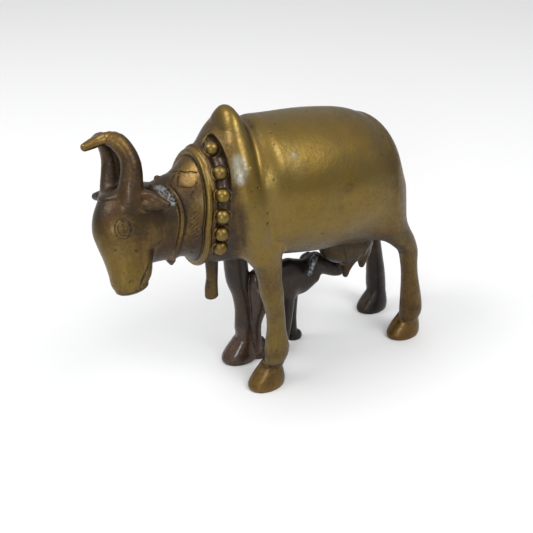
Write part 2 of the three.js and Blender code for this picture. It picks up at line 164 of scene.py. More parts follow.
def loft(place, rows, start_cap, end_cap, fullness=FULL_END):
    """A body with elliptical sections across the third axis of its frame, and round ends of given lengths.

    A row is the place along that axis, the middle of the section and its two half sizes.
    """
    first, last = rows[0][0], rows[-1][0]
    count = math.ceil((last - first) / TABLE_STEP)
    table = [smooth_row(rows, first + (last - first) * i / count) for i in range(count + 1)]
    table = np.array(table + table[-1:])
    ends = [(first - start_cap, table[0]), (last + end_cap, table[-1])]
    corners = [
        (row[1] + a * row[3], row[2] + b * row[4], t)
        for t, row in [(row[0], row) for row in table] + ends
        for a in (-1, 1)
        for b in (-1, 1)
    ]
    corners = np.array(corners) @ place[:3, :3].T + place[:3, 3]
    back = np.linalg.inv(place)

    def distance(points, reach=MARGIN):
        u, v, t = (points @ back[:3, :3].T + back[:3, 3]).T
        inside = np.clip(t, first, last)
        row = (inside - first) / (last - first) * count
        i = row.astype(int)
        s = row - i
        _, mu, mv, size_u, size_v = (table[i] + (table[i + 1] - table[i]) * s[:, None]).T
        cap = np.where(t < first, start_cap, end_cap)
        beyond = abs(t - inside) / cap
        du, dv = u - mu, v - mv
        share = np.sqrt((du / size_u) ** 2 + (dv / size_v) ** 2 + beyond**fullness)
        steep = fullness / 2 * beyond ** (fullness - 1) / cap
        length = np.sqrt((du / size_u**2) ** 2 + (dv / size_v**2) ** 2 + steep**2)
        return share * (share - 1) / np.maximum(length, 1e-9)

    return Form(corners.min(0), corners.max(0), distance)


def ball(place, centre, sizes):
    """A ball or an egg, of the given half sizes along the three axes of its frame."""
    # It is a loft that is nearly all ends.
    row = (centre[2], centre[0], centre[1], sizes[0], sizes[1])
    after = (row[0] + 0.02, *row[1:])
    return loft(place, (row, after), sizes[2], sizes[2], ELLIPSE_END)


def limb(place, points, step=2 * TABLE_STEP):
    """A round limb along a smooth curve. Each point is x, y, z and the radius there."""
    rows = []
    way = 0
    for i, point in enumerate(points):
        if i:
            way += math.dist(point[:3], points[i - 1][:3])
        rows.append((way, *point))
    count = max(math.ceil(way / step), 1)
    chain = np.array([smooth_row(rows, way * i / count)[1:] for i in range(count + 1)])
    chain[:, :3] = chain[:, :3] @ place[:3, :3].T + place[:3, 3]

    def distance(points, reach=MARGIN):
        nearest = np.full(len(points), 1e9)
        for a, b in zip(chain[:-1], chain[1:]):
            along = b[:3] - a[:3]
            from_a = points - a[:3]
            s = np.clip(from_a @ along / (along @ along), 0, 1)
            off = from_a - s[:, None] * along
            gap = np.sqrt((off * off).sum(axis=1)) - (a[3] + (b[3] - a[3]) * s)
            nearest = np.minimum(nearest, gap)
        return nearest

    return Form((chain[:, :3] - chain[:, 3:]).min(0), (chain[:, :3] + chain[:, 3:]).max(0), distance)


def joined(*pairs):
    """Forms joined one after the other, each with a fillet of about its own softness."""

    def distance(points, reach=MARGIN):
        total = np.full(len(points), float(FAR))
        for part, softness in pairs:
            near = part.near(points, softness + reach)
            if len(near):
                new, old = part.distance(points[near], reach), total[near]
                gap = np.maximum(softness - abs(old - new), 0)
                total[near] = np.minimum(old, new) - gap * gap / (4 * softness)
        return total

    low = np.min([part.low for part, _ in pairs], axis=0)
    high = np.max([part.high for part, _ in pairs], axis=0)
    return Form(low, high, distance)


def carved(base, *pairs):
    """The base with each of the other forms cut out of it, with lips as soft as its softness."""

    def distance(points, reach=MARGIN):
        total = base.distance(points, reach)
        for part, softness in pairs:
            near = part.near(points, softness + 1)
            if len(near):
                new, old = -part.distance(points[near]), total[near]
                gap = np.maximum(softness - abs(old - new), 0)
                total[near] = np.maximum(old, new) + gap * gap / (4 * softness)
        return total

    return Form(base.low, base.high, distance)


def axes(u, v, t, origin=(0, 0, 0)):
    """A frame with the given axes and origin, as a matrix."""
    made = np.eye(4)
    made[:3, :3] = np.array([u, v, t], float).T
    made[:3, 3] = origin
    return made


def turned(degrees, axis):
    """A turn about an axis, as a matrix."""
    return np.array(Matrix.Rotation(math.radians(degrees), 4, axis))


# Lofts lie upright in WORLD, with rows of z, x, y and half sizes, and along the cow in LENGTHWISE.
WORLD = axes((1, 0, 0), (0, 1, 0), (0, 0, 1))
LENGTHWISE = axes((0, 1, 0), (0, 0, 1), (1, 0, 0))

# The frame of the head: forward, towards the near side, and down along the face.
HEAD = turned(HEAD_TURN, "Z") @ turned(-HEAD_ROLL, "X") @ axes((-1, 0, 0), (0, -1, 0), (0, 0, -1))
HEAD[:3, 3] = HEAD_ORIGIN

# The neck from the head to the shoulders, a row for each place along the cow.
NECK = (
    (-60, 0, 112, 13.5, 19.5),
    (-52, 0, 112.7, 15.5, 20.3),
    (-48, 0, 113.3, 16.5, 20.8),
    (-44, 0, 113.2, 18, 21.6),
    (-40, 0, 112.8, 19.5, 24.6),
    (-36, 0, 113.3, 21.3, 27.6),
    (-32, 0, 114.2, 22.5, 29.4),
    (-28, 0, 115.2, 23, 31.2),
    (-24, 0, 116.4, 23.2, 33),
    (-18, 0, 118, 23.5, 35),
)


def neck_point(x, degrees, out=0.0):
    """A point on the skin of the neck, from the top (0) by the near side (90) to the bottom (180)."""
    angle = math.radians(degrees)
    _, _, z, half_width, half_height = smooth_row(NECK, x)
    return (x, -(half_width + out) * math.sin(angle), z + (half_height + out) * math.cos(angle))


def leaning(place, degrees):
    """A place along the neck that lies further back towards the top, at an angle round the neck."""
    return place + COLLAR_LEAN * max(math.cos(math.radians(degrees)), 0)


def collar_place(degrees):
    return leaning(COLLAR_PLACE, degrees)


def bead_place(degrees):
    return leaning(BEAD_PLACE, degrees)


def strap_place(degrees):
    """The place along the neck of the strap, which bows back most at 60 degrees from the top."""
    from_top = min(degrees, 360 - degrees, 120)
    return STRAP_PLACE + STRAP_BOW * math.sin(math.radians(1.5 * from_top)) ** 2


def skin_line(angles, place, radius, out=0.0, step=2 * TABLE_STEP):
    """A limb along the skin of the neck, at places given by a function of the angle round it."""
    return limb(WORLD, [(*neck_point(place(a), a, out), radius) for a in angles], step)


def hoop(place, radius, gap, count=60):
    """A round band on the skin of the neck, open over the angle gap at the top."""
    return skin_line([gap / 2 + (360 - gap) * i / count for i in range(count + 1)], place, radius)


# The ridges from the hump down to the front legs.
shoulders = [
    limb(WORLD, [
        (-15, side * 5, 153.5, 5),
        (-16.2, side * 11, 146.7, 5.6),
        (-17.2, side * 18, 135, 6),
        (-16.3, side * 21.8, 122, 6.4),
        (-14.2, side * 23.2, 105, 6.8),
        (-9.6, side * 21.2, 91, 6),
    ])
    for side in (-1, 1)
]

# The barrel, the neck, the hump, the ridges and the two haunches.
trunk = joined(
    (loft(LENGTHWISE, (
        (1, 0, BODY_MIDDLE_HEIGHT + 6, BODY_HALF_WIDTH - 2, BODY_HALF_HEIGHT - 1.2),
        (10, 0, BODY_MIDDLE_HEIGHT + 4.5, BODY_HALF_WIDTH - 0.6, BODY_HALF_HEIGHT - 0.5),
        (30, 0, BODY_MIDDLE_HEIGHT + 2, BODY_HALF_WIDTH + 0.5, BODY_HALF_HEIGHT + 0.7),
        (48, 0, BODY_MIDDLE_HEIGHT + 0.3, BODY_HALF_WIDTH - 0.2, BODY_HALF_HEIGHT - 0.1),
        (58, 0, BODY_MIDDLE_HEIGHT - 0.5, BODY_HALF_WIDTH - 1, BODY_HALF_HEIGHT - 1.7),
        (66, 0, BODY_MIDDLE_HEIGHT - 1.3, BODY_HALF_WIDTH - 2.2, BODY_HALF_HEIGHT - 4.3),
    ), 21.5, 17.4, BARREL_END), 1),
    (loft(LENGTHWISE, NECK, 4, 12), 6),
    (loft(WORLD, (
        (97, -12.5, 0, 10.5, 25.5),
        (108, -15, 0, 9, 27.3),
        (121, -16.5, 0, 8, 25.5),
        (136, -17.3, 0, 8, 22),
        (148, -16.6, 0, 6.8, 14.5),
        (HUMP_HEIGHT - 9, -15.4, 0, 5.4, 9.5),
    ), 10, 9, ELLIPSE_END), 8),
    (shoulders[0], 3),
    (shoulders[1], 3),
    (ball(WORLD, (69, -13, 96), (13.4, 14, 20)), 12),
    (ball(WORLD, (70, 13, 96), (13.4, 14, 20)), 12),
)


def leg(rows):
    """A leg through rows of z, x, y and the half sizes along x and y, from the top down."""
    return loft(WORLD, rows[::-1], 1, 6)


def hoof(x, y, scale):
    """A hoof whose ankle is at x and y, with its toe ahead of it."""
    rows = (
        (-1, -3.2, 0, 11.4, 8),
        (2.5, -3.4, 0, 12.2, 8.6),
        (7, -2.4, 0, 10.6, 8),
        (12, -1, 0, 7.8, 6.6),
        (16, 0, 0, 5.6, 5.4),
    )
    return loft(WORLD, [(z, x + dx, y + dy, a * scale, b * scale) for z, dx, dy, a, b in rows], 2, 2)


# The four legs, each with its hoof.
near_front = joined(
    (leg((
        (92, -7, -19, 10, 8),
        (82, -4.5, -19.5, 7.6, 7),
        (73, -3, -19.2, 6.3, 6.3),
        (65, -1.7, -18.8, 6.3, 6.3),
        (57, 0, -18.3, 5.6, 5.6),
        (49, 1.5, -17.9, 5.2, 5.2),
        (39, 2.5, -17.3, 5.3, 5.3),
        (29, 3, -17, 6.7, 6.5),
        (23, 3, -16.6, 6.9, 6.5),
        (16, 2.2, -16.2, 5.2, 5.2),
    )), 3),
    (hoof(1.8, -HOOF_HALF_SPREAD + 2.4, 0.93), 1.5),
)
far_front = joined(
    (leg((
        (92, -6, 18, 10, 8),
        (76, -3, 18.5, 7.2, 7),
        (54, -1.6, 17.6, 6.8, 6.6),
        (43, 1, 17.2, 6, 6),
        (33, 2.3, 16.9, 5.9, 5.9),
        (26, 2.6, 16.5, 6.5, 6.5),
        (20, 2.6, 16.1, 6.9, 6.6),
        (14, 2.6, 15.8, 5.8, 5.6),
    )), 3),
    (hoof(1.8, HOOF_HALF_SPREAD, 1), 1.5),
)
near_hind = joined(
    (leg((
        (104, 70, -17, 9, 8),
        (92, 72.6, -19.5, 9.2, 8.5),
        (82, 77, -21, 9.4, 8),
        (74, 82.5, -21.4, 8.6, 7),
        (65, 89, -20.9, 5.9, 6),
        (55, 91.8, -20.3, 4.9, 5.2),
        (45, 94.1, -19.8, 5, 5.2),
        (30, 97.3, -19.2, 6.5, 6),
        (19, 98.9, -18.7, 7, 6.4),
        (13, 98.7, -18.1, 5.8, 5.6),
    )), 3),
    (hoof(HOOF_SPACING + 2.6, -HOOF_HALF_SPREAD, 0.92), 1.5),
)
far_hind = joined(
    (leg((
        (104, 73, 17, 9, 8),
        (92, 76.5, 19.5, 9.5, 8.5),
        (82, 80.5, 21, 9.4, 8),
        (72, 88, 21, 7.8, 7),
        (60, 95, 20.6, 5.8, 6),
        (49, 97.5, 20, 5.2, 5.4),
        (37, 99.5, 19.1, 5.4, 5.4),
        (27, 100.8, 18.7, 6.1, 6),
        (17, 101.6, 18.3, 6.4, 6.2),
        (11, 101.8, 17.9, 5.2, 5.2),
    )), 3),
    (hoof(HOOF_SPACING + 4, HOOF_HALF_SPREAD + 1, 0.9), 1.5),
)

# The horns rise and curl forward until they meet.
horns = [
    limb(HEAD, [
        (5.6, side * 8, 2, HORN_RADIUS + 0.4),
        (4.6, side * 8.8, -3, HORN_RADIUS),
        (3, side * 9.3, -8, 5.1),
        (2.2, side * 9.4, -11, 4.8),
        (1.6, side * 9.2, -14, 4.5),
        (1.8, side * 8, -18.8, 4.2),
        (3.6, side * 5.8, -24, 4),
        (7, side * 3.4, -26.3, 3),
        (11.6, side * 1.4, -25.7, 2.1),
        (16.6, side * 0.4, -24.9, 1.2),
    ])
    for side in (-1, 1)
]

# The near ear is a leaf laid back against the neck. Its frame runs across, through and along it.
EAR = HEAD @ axes((0.5, -0.05, 0.87), (0.55, 0.79, -0.27), (-0.67, 0.61, 0.42), (3, 11, 1))
near_ear = loft(EAR, (
    (0, 1, 0, 4, 3.2),
    (5, 1.1, 0, 4.5, 2.6),
    (10, 1, 0, 3, 2),
    (13, 0.8, 0, 1.7, 1.4),
), 3, 1.8)
far_ear = limb(HEAD, [(4, -8, 1, 4), (6, -13, 0.5, 3.2), (7.4, -16.5, 0.4, 2.7), (8.4, -20, 0.4, 1.9)])

# The skull with the face, the two jaws, the horns and the ears.
head = joined(
    (loft(HEAD, (
        (0, 4, 0, 12.8, 10.5),
        (6, 5.8, 0, 15.2, 12),
        (13, 7.8, 0, 15.5, 12.5),
        (20, 9.2, 0, 13.7, 11.5),
        (27, 10, 0, 11.9, 10),
        (34, 10.7, 0, 10.8, 9.2),
        (39, 11.7, 0, 10, 8.4),
        (42, 12.5, 0, 8.2, 7.2),
    ), 4, 3.5), 1),
    (ball(HEAD, (-0.5, -6.5, 13), (8.5, 6, 12.5)), 3),
    (ball(HEAD, (-0.5, 6.5, 13), (8.5, 6, 12.5)), 3),
    (horns[0], 3),
    (horns[1], 3),
    (near_ear, 2),
    (far_ear, 3),
)

# The beads with the softness of their joints, the rim of the collar and the pendant on the chest.
beads = [(ball(WORLD, neck_point(bead_place(a), a), (BEAD_RADIUS,) * 3), 0.8) for a in BEAD_ANGLES]
rim = hoop(collar_place, COLLAR_RADIUS, 0)
pendant = loft(WORLD, (
    (61.5, -27.3, 0, 3.7, 3),
    (66, -27.3, 0, 3.6, 3),
    (73, -26.6, 0, 3.1, 3),
    (86, -26.5, 0, 3.8, 3.5),
), 2, 2)

rump = joined((trunk, 1), (near_hind, 8), (far_hind, 8))

# The udder and its four teats.
udder = joined(
    (ball(WORLD, (60, -1, 70), (18, 12, 13)), 5),
    (limb(WORLD, [(60, -4.5, 60, 4.5), (58, -4.8, 54, 2.8), (57.6, -5, 50, 1.8)]), 3),
    (limb(WORLD, [(70, -4.5, 62, 4.5), (69.4, -4.8, 56, 2.8), (69.2, -5, 53, 1.8)]), 3),
    (limb(WORLD, [(60, 4.5, 60, 4.5), (61, 5.2, 54, 2.8), (61.6, 5.6, 49, 1.8)]), 3),
    (limb(WORLD, [(71, 5, 62, 4.5), (71, 5.5, 56, 2.8), (71, 6, 53, 1.8)]), 3),
)


def rump_place(y, z):
    """Where a line from behind, at the given y and z, meets the skin of the rump."""
    line = np.array([(x, y, z) for x in np.arange(HOOF_SPACING, 0, -0.1)], float)
    return line[np.argmax(rump.distance(line) <= 0)][0]


# The tail lies on the rump and crosses to the near hind leg.
tail = limb(WORLD, [
    (rump_place(y, z) - TAIL_DEPTH, y, z, radius)
    for z, y, radius in (
        (126, -2.5, 0.8),
        (116, -5, 2.1),
        (103, -8, 2.4),
        (90, -10.5, 2.4),
        (80, -13.5, 2.6),
        (71, -16.5, 2.8),
    )
])

# The calf's trunk, its head at the teats, its ears, its four legs and its hooves.
calf = joined(
    (loft(LENGTHWISE, (
        (8, 12.8, 48.2, 6.2, 11.6),
        (18, 12.2, 48, 6.8, 11.2),
        (28, 11.6, 48.8, 6.8, 12.4),
        (34, 11.3, 47.3, 6.4, 12),
        (40, 10.8, 46.8, 5.6, 11),
        (46, 10, 50, 5, 10),
    ), 6, 3), 1),
    (limb(WORLD, [(46, 9.5, 54.5, 6.2), (52, 8.5, 51, 5.2), (58, 7, 47, 3.9), (61, 6.2, 45.4, 2.8)]), 2),
    (limb(WORLD, [(43.5, 5.5, 61, 1.8), (40, 3.2, 60, 2), (37.5, 2.8, 53, 1.6)]), 1),
    (limb(WORLD, [(44, 14, 58, 1.8), (42.6, 17, 54.5, 2), (41.5, 17.6, 49, 1.5)]), 1),
    (limb(WORLD, [(28, 9, 44, 4.6), (27.4, 9.6, 32, 3.9), (27, 10.4, 18, 3.4), (25.8, 10.8, 7, 3.2)]), 3),
    (limb(WORLD, [
        (34, 14.5, 44, 4.4),
        (33.8, 14.8, 32, 3.6),
        (34, 15.4, 18, 3.2),
        (34.8, 15.8, 7, 3.2),
    ]), 3),
    (limb(WORLD, [(10, 10, 45, 7), (7.4, 10, 34, 4.6), (6, 10.4, 24, 3.2), (7, 10.8, 6, 3)]), 3),
    (limb(WORLD, [(10, 16, 45, 6.5), (8.4, 16, 34, 4.2), (8.6, 16.4, 24, 3.2), (9.6, 16.6, 6, 3)]), 3),
    (ball(WORLD, (25, 10.9, 1), (4.4, 3.6, 5)), 1),
    (ball(WORLD, (37, 16, 1), (5, 3.8, 5)), 1),
    (ball(WORLD, (8.6, 10.9, 1), (4.6, 3.6, 5)), 1),
    (ball(WORLD, (11.6, 16.4, 2), (5, 4, 8)), 1),
)


# The cow without the trim of its neck. The last limb is the drop of the strap, under the throat.
body = joined(
    (rump, 1),
    (near_front, 4.5),
    (far_front, 4.5),
    (head, 4),
    (hoop(strap_place, STRAP_RADIUS, STRAP_OPEN), 1),
    (limb(WORLD, [(-51, -5, 94.4, 3), (-51.3, -5.8, 92.6, 1.8), (-51.4, -6, 91.6, 1.2)]), 2),
)
channel = skin_line(NEAR_CHANNEL, bead_place, NEAR_CHANNEL_RADIUS, CHANNEL_OUT, CHANNEL_LINK)
far_channel = skin_line(FAR_CHANNEL, bead_place, FAR_CHANNEL_RADIUS, CHANNEL_OUT, CHANNEL_LINK)
channelled = carved(body, (channel, 0.6), (far_channel, 0.6))
# The collar is broader at the top of the neck.
broad_top = limb(WORLD, [
    (*neck_point(collar_place(a) + 2.3, a, -0.2), 0.8 + 1.4 * math.cos(math.radians(1.6 * a)))
    for a in range(-54, 55, 9)
])
# The whole figure, without the engraving.
plain = joined(
    (channelled, 1),
    (rim, 1),
    (broad_top, 1),
    *beads,
    (pendant, 1.5),
    (udder, 3),
    (tail, 1.5),
    (calf, 1),
)


def slope(form, points, step=SLOPE_STEP):
    """The direction in which the distance of a form grows, at points."""
    here = []
    for n in range(3):
        move = np.zeros(3)
        move[n] = step
        here.append((form.distance(points + move) - form.distance(points - move)) / (2 * step))
    return np.array(here).T


def settled(form, points, passes, most):
    """Points moved on to the surface of a form, by so many steps of at most so many millimetres."""
    points = np.array(points, float)
    for _ in range(passes):
        grad = slope(form, points)
        move = form.distance(points) / np.maximum((grad * grad).sum(axis=1), 0.25)
        points -= grad * np.clip(move, -most, most)[:, None]
    return points


def stroke(points, radius, ends=0.5, parts=4, link=0.7, lip=0.3):
    """An engraved line through points near the surface, thinner at its ends, and how soft its lips are."""
    rows = [(float(i), *p) for i, p in enumerate(points)]
    count = parts * (len(points) - 1)
    fine = [smooth_row(rows, i / parts)[1:] for i in range(count + 1)]
    fine = settled(plain, fine, 6, 1.0)
    sizes = [radius * (ends + (1 - ends) * math.sin(math.pi * i / count) ** 0.5) for i in range(count + 1)]
    return (limb(WORLD, [(*p, r) for p, r in zip(fine, sizes)], link), lip)


def on_head(forward, side, down, out=12):
    """A point near the side of the head, at a place forward and down its face."""
    return tuple(HEAD[:3, :3] @ np.array((forward, side * out, down)) + HEAD[:3, 3])


def ring(side, middle, sizes, start, end, radius):
    """An engraved arc on the side of the head, round a middle, from one angle to another."""
    steps = max(int(abs(end - start) / 30), 3)
    angles = [math.radians(start + (end - start) * i / steps) for i in range(steps + 1)]
    return stroke([
        on_head(middle[0] + sizes[0] * math.cos(a), side, middle[1] + sizes[1] * math.sin(a)) for a in angles
    ], radius)


# The engraving, as forms to carve with. On each side of the face: two rings round the eye, its slit,
# the nostril, the mouth and the dent in the cheek.
MOUTH = ((2.6, 32.6), (5, 35), (9.4, 38.4), (12, 42.6))
lines = []
for side in (1, -1):
    lines += [
        ring(side, (15.2, 12.8), (4.4, 4.6), 0, 360, 0.3),
        ring(side, (14.6, 12.8), (3.2, 3.6), 0, 360, 0.28),
        ring(side, (14.3, 12.8), (0.2, 2.2), -90, 90, 0.28),
        ring(side, (17.2, 38.4), (1.6, 1.1), -150, 30, 0.22),
        stroke([on_head(forward, side, down) for forward, down in MOUTH], 0.55),
        stroke([on_head(11.4, side, 24.2), on_head(10.2, side, 24.9)], 0.35),
    ]
    # The groove behind the strap, and the one in front of the collar.
    behind_strap = [neck_point(strap_place(a) + 1.8, side * a) for a in range(24, 165, 10)]
    before_collar = [neck_point(collar_place(a) - 1.9, side * a) for a in range(-20, 165, 10)]
    lines += [stroke(behind_strap, 0.42), stroke(before_collar, 0.45)]
# On the near side of the neck: the lines of a net, and strokes of hair below them.
for way in (
    ((-40.3, -5), (-42.6, 6), (-44.8, 17), (-46.6, 29)),
    ((-43.9, -9), (-42.2, 2), (-40.6, 13), (-38.6, 20), (-36.9, 27)),
    ((-46.3, 25), (-43.4, 33), (-40.4, 40)),
    ((-37.9, 35), (-40.8, 43), (-43.6, 51)),
    ((-44.6, 3), (-47.2, 14)),
):
    lines.append(stroke([neck_point(*p) for p in way], 0.3, 0.7))
for n in range(10):
    turn = 66 + 5.2 * n
    shift = 0.5 * math.sin(2.3 * n)
    way = ((-41.2 + shift, turn), (-43.2 + shift, turn + 3.5), (-45.6 + 0.6 * shift, turn + 10))
    lines.append(stroke([neck_point(*p) for p in way], 0.24, 0.6))
# The folds of the udder.
for way in (
    ((64.5, -13, 72), (65, -12, 64), (64.8, -8, 59)),
    ((51, -12, 70), (53.5, -11, 63), (55, -8.5, 58)),
    ((74, -12, 74), (74.6, -10, 66), (74, -8, 61)),
):
    lines.append(stroke(way, 0.7))
# Casting pits.
for centre, radius in (
    ((-13.5, -26.3, 130.4), 0.7),
    ((-9.8, -29.1, 117.1), 0.5),
    ((-9.9, -29.3, 111.9), 0.55),
    ((20.5, -30.9, 98.7), 0.45),
    (neck_point(-43.8, 130), 0.6),
    ((-16.2, -23.8, 140), 0.4),
):
    centre = settled(plain, [centre], 8, 1.0)[0]
    lines.append((ball(WORLD, tuple(centre), (radius,) * 3), 0.3))
# The hollow of the near ear.
lines.append((ball(EAR, (0.8, 3.1, 6.4), (2.6, 1.9, 4.4)), 1.0))
figure = carved(plain, *lines)


def graded(low, high, fine_low, fine_high, fine, coarse):
    """Places from low to high, close together from fine_low to fine_high."""
    first = np.arange(fine_low, low - coarse, -coarse)[::-1]
    middle = np.arange(fine_low + fine, fine_high, fine)
    return np.concatenate([first, middle, np.arange(fine_high, high + coarse, coarse)])


def measured(form, xs, ys, zs, block=4):
    """The distance of a form at the nodes of a grid, in full only in blocks of cells near its surface."""
    shape = (len(xs), len(ys), len(zs))
    counts = [-(-n // block) for n in shape]
    middles = [
        np.array([a[i * block : (i + 1) * block].mean() for i in range(n)])
        for a, n in zip((xs, ys, zs), counts)
    ]
    grid = np.stack(np.meshgrid(*middles, indexing="ij"), axis=-1).reshape(-1, 3)
    rough = form.distance(grid)
    width = max(np.diff(a).max() for a in (xs, ys, zs)) * block
    field = np.repeat(
        np.repeat(np.repeat(rough.reshape(counts), block, 0), block, 1), block, 2
    )[: shape[0], : shape[1], : shape[2]].astype(np.float32)
    active = np.argwhere(abs(rough.reshape(counts)) < 1.3 * width + 0.5) * block
    offsets = np.stack(np.meshgrid(*[np.arange(block)] * 3, indexing="ij"), axis=-1).reshape(-1, 3)
    nodes = (active[:, None] + offsets).reshape(-1, 3)
    nodes = nodes[(nodes < shape).all(axis=1)]
    for start in range(0, len(nodes), BATCH):
        i, j, k = nodes[start : start + BATCH].T
        points = np.stack([xs[i], ys[j], zs[k]], axis=1)
        # Nothing is below the ground.
        field[i, j, k] = np.maximum(form.distance(points), -points[:, 2])
    return field


def net(field, xs, ys, zs):
    """A surface net on a measured grid: a vertex in each cell that the surface crosses, and the quads.

    Each edge from an inner to an outer node adds its crossing to the four cells round it, and a quad
    between them. A cell's vertex is the mean of its crossings.
    """
    shape = field.shape
    inside = field < 0
    places = (xs, ys, zs)
    cells, sums, quads = [], [], []
    for axis in range(3):
        here = [slice(None)] * 3
        there = [slice(None)] * 3
        here[axis], there[axis] = slice(None, -1), slice(1, None)
        edges = np.argwhere(inside[tuple(here)] != inside[tuple(there)])
        step = np.zeros(3, int)
        step[axis] = 1
        a = field[tuple(edges.T)]
        b = field[tuple((edges + step).T)]
        share = a / (a - b)
        point = np.stack([p[e] for p, e in zip(places, edges.T)], axis=1)
        along = places[axis]
        point[:, axis] += share * (along[edges[:, axis] + 1] - along[edges[:, axis]])
        # The two other axes, in the order that turns the quads' outer sides the same way.
        one, two = (axis + 1) % 3, (axis + 2) % 3
        around = []
        for p, q in ((0, 0), (1, 0), (1, 1), (0, 1)):
            cell = edges.copy()
            cell[:, one] -= p
            cell[:, two] -= q
            number = (cell[:, 0] * shape[1] + cell[:, 1]) * shape[2] + cell[:, 2]
            around.append(number)
            cells.append(number)
            sums.append(point)
        quad = np.stack(around, axis=1)
        quad[a > 0] = quad[a > 0][:, ::-1]
        quads.append(quad)
    numbers, index = np.unique(np.concatenate(cells), return_inverse=True)
    total = np.stack([np.bincount(index, weights=c) for c in np.concatenate(sums).T], axis=1)
    vertices = total / np.bincount(index)[:, None]
    return vertices, np.searchsorted(numbers, np.concatenate(quads))


# The cells are smallest across the head, the neck and the beads.
scale = 1.0
xs = graded(-102, 112, -88, -22, 0.45 * scale, 0.9 * scale)
ys = graded(-37, 37, -24, 24, 0.55 * scale, 0.75 * scale)
zs = graded(-2, 166, 84, 160, 0.5 * scale, 0.75 * scale)
vertices, quads = net(measured(figure, xs, ys, zs), xs, ys, zs)


def added(name, data):
    """A new object in the scene."""
    made = bpy.data.objects.new(name, data)
    bpy.context.scene.collection.objects.link(made)
    return made


# The mesh, thinned out to the most triangles and settled back on to the form.
mesh = bpy.data.meshes.new("cow_and_calf_cast")
mesh.from_pydata(vertices.tolist(), [], quads.tolist())
piece = added("cow_and_calf_cast", mesh)
triangles = 2 * len(quads)
if triangles > TRIANGLES:
    lighter = piece.modifiers.new("lighter", "DECIMATE")
    lighter.ratio = TRIANGLES / triangles
    whole = bpy.data.meshes.new_from_object(piece.evaluated_get(bpy.context.evaluated_depsgraph_get()))
    piece.modifiers.clear()
    piece.data = whole
    bpy.data.meshes.remove(mesh)
    mesh = whole
    mesh.name = "cow_and_calf_cast"

points = np.empty(len(mesh.vertices) * 3, np.float32)
mesh.vertices.foreach_get("co", points)
points = points.reshape(-1, 3).astype(float)
sole = points[:, 2] < SOLE_DEPTH
points[~sole] = settled(figure, points[~sole], 2, 0.3)
points[sole, 2] = 0
normals = slope(figure, points)
normals[sole] = (0, 0, -1)
normals /= np.maximum(np.linalg.norm(normals, axis=1), 1e-9)[:, None]


def openness(reach):
    """How open the surface is over a reach in millimetres: 1 on a flat or round place, 0 in a crack."""
    return np.clip(figure.distance(points + normals * reach, 1.5 * reach) / reach, 0, 1)


def smooth(values, start, end):
    """0 up to start, 1 from end, and a smooth rise between them."""
    share = np.clip((values - start) / (end - start), 0, 1)
    return share * share * (3 - 2 * share)


def spot(centre, radius, fade=0.5):
    """1 within the radius of a place, fading to 0 at 1 + fade times the radius."""
    return 1 - smooth(np.linalg.norm(points - centre, axis=1), radius, radius * (1 + fade))


def on(form, reach=0.6):
    """1 where the surface belongs to the given form, fading out over a reach past it."""
    return 1 - smooth(form.distance(points, 6), 0.2, 0.2 + reach)


def summed(base, *parts):
    """The base and so much of each share, as pairs of an amount and a share."""
    return base + sum(amount * share for amount, share in parts)


# Where the surface is hollow over a few millimetres, sheltered over more, or sharp and rubbed bare.
crease = 1 - np.mean([openness(r) for r in (0.7, 1.4, 2.4)], axis=0)
shelter = 1 - np.mean([openness(r) for r in (6, 12, 20)], axis=0)
edge = np.mean([np.clip(1 + figure.distance(points - normals * r) / r, 0, 1) for r in (0.8, 1.6)], axis=0)

# The regions of the figure. On the head, the places are forward and down along the face.
x, y, z = points.T
forward, _, down = ((points - HEAD[:3, 3]) @ HEAD[:3, :3]).T
bead_share = on(joined(*beads), 0.4)
calf_share = on(calf, 1.0)
head_share = on(head, 1.5)
near_hooves = (1 - smooth(z, 12, 17)) * (y < 0)
near_legs = (y < 0) * (1 - smooth(z, 60, 84))
polished = smooth(x, -27, -16) * smooth(z, 76, 92)
raised = np.maximum(bead_share, 0.8 * on(rim, 0.5))

patina_and_painted_light = summed(
    0.46 - 0.42 * polished,
    # The muzzle is rubbed bright. The horns are dark, with a painted highlight along the top of their arch
    # and at their tips, and the far horn and the far top of the head are painted lighter where they stand in
    # shade.
    # The forehead and the back of the head are darkest.
    (-0.28, head_share * smooth(down, 8, 30)),
    (0.2, head_share * (1 - smooth(down, 0, 6)) * smooth(down, -24, -14)),
    (-0.16, head_share * (1 - smooth(down, -26, -18))),
    (-0.14, head_share * (1 - smooth(down, -8, -2)) * (y > 1)),
    (0.34, head_share * smooth(down, -4, 0) * (1 - smooth(down, 5, 11))),
    (0.25, (1 - smooth(x, -54, -50)) * (1 - smooth(forward, -4, 4))),
    # The chest and the throat are dark. One place on top of the neck is painted lighter, a painted
    # highlight.
    (0.24, (1 - smooth(z, 104, 122)) * (1 - smooth(x, -30, -26)) * (1 - head_share)),
    (0.2, smooth(x, -30, -26) * (1 - smooth(x, -22, -18)) * (1 - smooth(z, 116, 128))),
    (-0.45, spot((-40.6, -5.5, 135.9), 4.5, 1.0)),
    # The near legs are painted lighter, as if lit, and the lower far side is painted darker, a painted
    # shade.
    # What looks down, the haunch and the udder are dark.
    (-0.25, near_legs * (x < 20)),
    (-0.06, near_legs * (x > 60)),
    (0.32, smooth(-normals[:, 2], 0.25, 0.9)),
    (0.42, smooth(y, -2, 14) * (1 - smooth(z, 70, 90))),
    (0.2, smooth(x, 56, 84) * smooth(z, 76, 92)),
    (0.16, polished * smooth(x, 36, 66)),
    (0.22, on(udder, 2)),
    # Three stains on the barrel.
    (0.22, spot((33.7, -33.8, 121.4), 1.8, 1.4)),
    (0.25, spot((6.8, -24.6, 141.9), 1.2, 1.2)),
    (0.18, spot((29, -34.4, 112), 1.4, 1.6)),
    # The hollows.
    (0.9, smooth(shelter, 0.1, 0.65) * (1 - 0.8 * polished)),
    (1.2, smooth(crease, 0.08, 0.55) * (1 - 0.5 * polished)),
)
